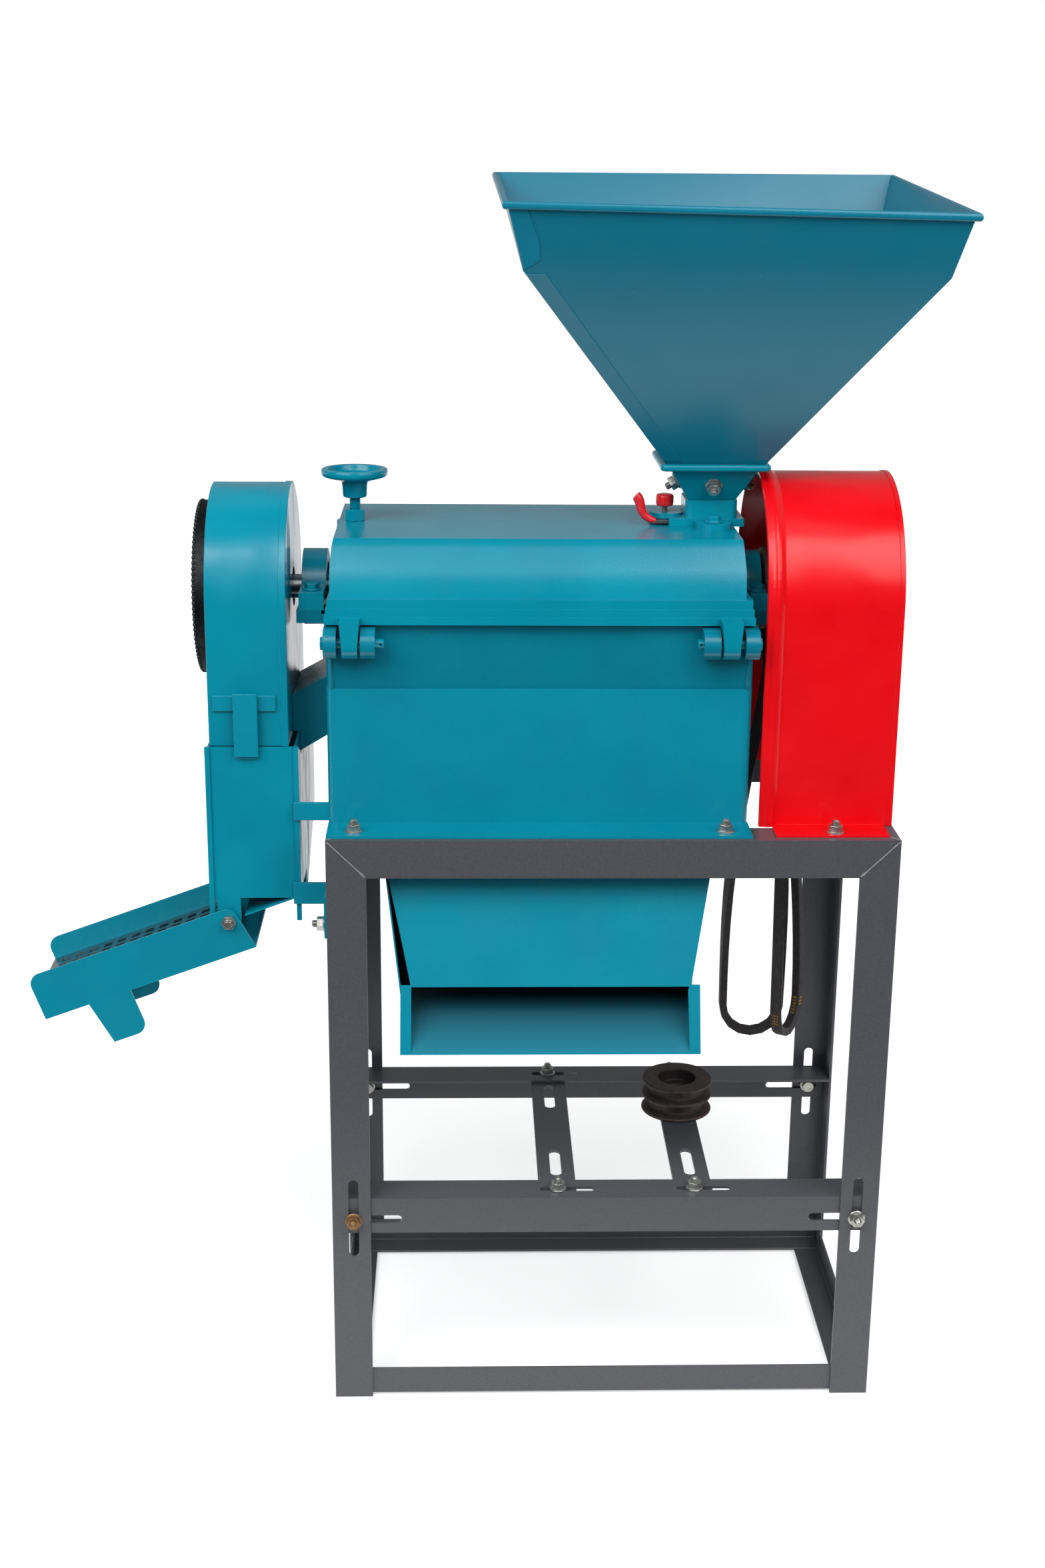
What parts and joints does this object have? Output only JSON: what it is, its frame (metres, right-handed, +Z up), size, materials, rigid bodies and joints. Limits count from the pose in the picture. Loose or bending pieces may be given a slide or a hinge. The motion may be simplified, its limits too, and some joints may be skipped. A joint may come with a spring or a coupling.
{
  "type": "rice huller",
  "caption": "Small rice huller and polisher on an angle-iron stand, with a feed hopper, hinged cover, fan and duct, bran chute, grading tray, belt guard and adjustable motor rails.",
  "frame": {"origin": "on the floor, below the middle of the whole machine", "axes": "+X to the belt guard, +Y away from the cover's hinge side and the bran chute's mouth, +Z up"},
  "size_m": [0.9219, 0.3924, 1.2713],
  "materials": {
    "stand_paint": "semi-gloss grey paint on angle iron",
    "teal_paint": "gloss teal enamel",
    "hopper_paint": "gloss teal enamel on sheet",
    "red_paint": "gloss red enamel",
    "red_plastic": "dipped and moulded red plastic",
    "zinc": "zinc plated",
    "cast_iron": "dark cast iron",
    "machined_steel": "machined steel",
    "mesh_wire": "dark wire mesh in a crimped ring",
    "belt_rubber": "black V-belt with a woven cover"
  },
  "bodies": {
    "frame": {"post_front_left": "stand_paint", "post_front_right": "stand_paint", "post_rear_left": "stand_paint", "post_rear_right": "stand_paint", "top_beam_front": "stand_paint", "top_beam_rear": "stand_paint", "top_beam_left": "stand_paint", "top_beam_right": "stand_paint", "lower_rails": "stand_paint", "base_skirt": "teal_paint", "mill_base": "teal_paint", "sieve": "machined_steel", "rice_knife": "machined_steel", "casting_bolts": "teal_paint", "base_bolts": "zinc", "bearing_housing_left": "teal_paint", "bearing_housing_right": "teal_paint", "ball_bearings": "machined_steel", "hinge_pins": "zinc", "bran_chute": "teal_paint", "fan_casing": "teal_paint", "fan_inlet_guard": "mesh_wire", "lower_duct": "teal_paint", "rice_spout": "teal_paint", "duct_clip": "teal_paint", "duct_strap": "teal_paint", "duct_bracket": "teal_paint", "duct_bolts": "zinc", "belt_guard": "red_paint", "guard_vent": "mesh_wire", "belt_inner": "belt_rubber", "belt_outer": "belt_rubber", "tray_pivot": "zinc"},
    "rotor": {"main_shaft": "machined_steel", "milling_roller": "cast_iron", "feed_screw": "cast_iron", "main_pulley": "cast_iron", "fan_impeller": "cast_iron"},
    "cover": {"cover": "teal_paint", "feed_neck": "teal_paint", "neck_bolts": "teal_paint", "hopper_collar": "teal_paint", "hopper_bolts": "zinc", "hopper": "hopper_paint", "lock_nut": "teal_paint"},
    "outlet_gate": {"outlet_gate": "cast_iron"},
    "handwheel": {"handwheel": "teal_paint"},
    "feed_gate": {"feed_gate": "machined_steel", "gate_grip": "red_plastic"},
    "clamp_knob": {"clamp_knob": "red_plastic"},
    "tray": {"tray": "teal_paint", "tray_mesh": "machined_steel"},
    "motor_base": {"cross_rails": "stand_paint", "cross_rail_bolts": "zinc"},
    "motor_rail_left": {"motor_rail_left": "stand_paint", "motor_rail_left_bolts": "zinc"},
    "motor_rail_right": {"motor_rail_right": "stand_paint", "motor_rail_right_bolts": "zinc", "loose_pulley": "cast_iron"},
    "swing_bolt": {"swing_bolt": "zinc"}
  },
  "joints": [
    {"name": "shaft_spin", "type": "hinge", "parent": "frame", "child": "rotor", "pos_m": [0.13714, 0.01593, 0.855], "axis": [1, 0, 0], "continuous": true},
    {"name": "cover_hinge", "type": "hinge", "parent": "frame", "child": "cover", "pos_m": [0.13714, -0.12107, 0.826], "axis": [1, 0, 0], "range_deg": [0, 75]},
    {"name": "gate_slide", "type": "slide", "parent": "cover", "child": "outlet_gate", "axis": [0, 0, 1], "range_m": [-0.008, 0.006]},
    {"name": "handwheel_turn", "type": "hinge", "parent": "outlet_gate", "child": "handwheel", "pos_m": [-0.12436, 0.01593, 0.974], "axis": [0, 0, 1], "range_deg": [-1650, 1240]},
    {"name": "feed_gate_slide", "type": "slide", "parent": "cover", "child": "feed_gate", "axis": [-1, 0, 0], "range_m": [0, 0.06]},
    {"name": "clamp_turn", "type": "hinge", "parent": "cover", "child": "clamp_knob", "pos_m": [0.19514, 0.01593, 0.943], "axis": [0, 0, 1], "range_deg": [0, 540]},
    {"name": "tray_swing", "type": "hinge", "parent": "frame", "child": "tray", "pos_m": [-0.25386, -0.04407, 0.528], "axis": [0, 1, 0], "range_deg": [-12, 12]},
    {"name": "motor_base_lift", "type": "slide", "parent": "frame", "child": "motor_base", "axis": [0, 0, 1], "range_m": [-0.035, 0.04]},
    {"name": "motor_rail_left_slide", "type": "slide", "parent": "motor_base", "child": "motor_rail_left", "axis": [1, 0, 0], "range_m": [-0.014, 0.034]},
    {"name": "motor_rail_right_slide", "type": "slide", "parent": "motor_base", "child": "motor_rail_right", "axis": [1, 0, 0], "range_m": [-0.014, 0.034]},
    {"name": "swing_bolt_hinge", "type": "hinge", "parent": "frame", "child": "swing_bolt", "pos_m": [0.06314, 0.15193, 0.8], "axis": [1, 0, 0], "range_deg": [0, 180]}
  ],
  "couplings": [
    {"joint": "handwheel_turn", "follows": "gate_slide", "rad_per_m": 3590.4}
  ]
}
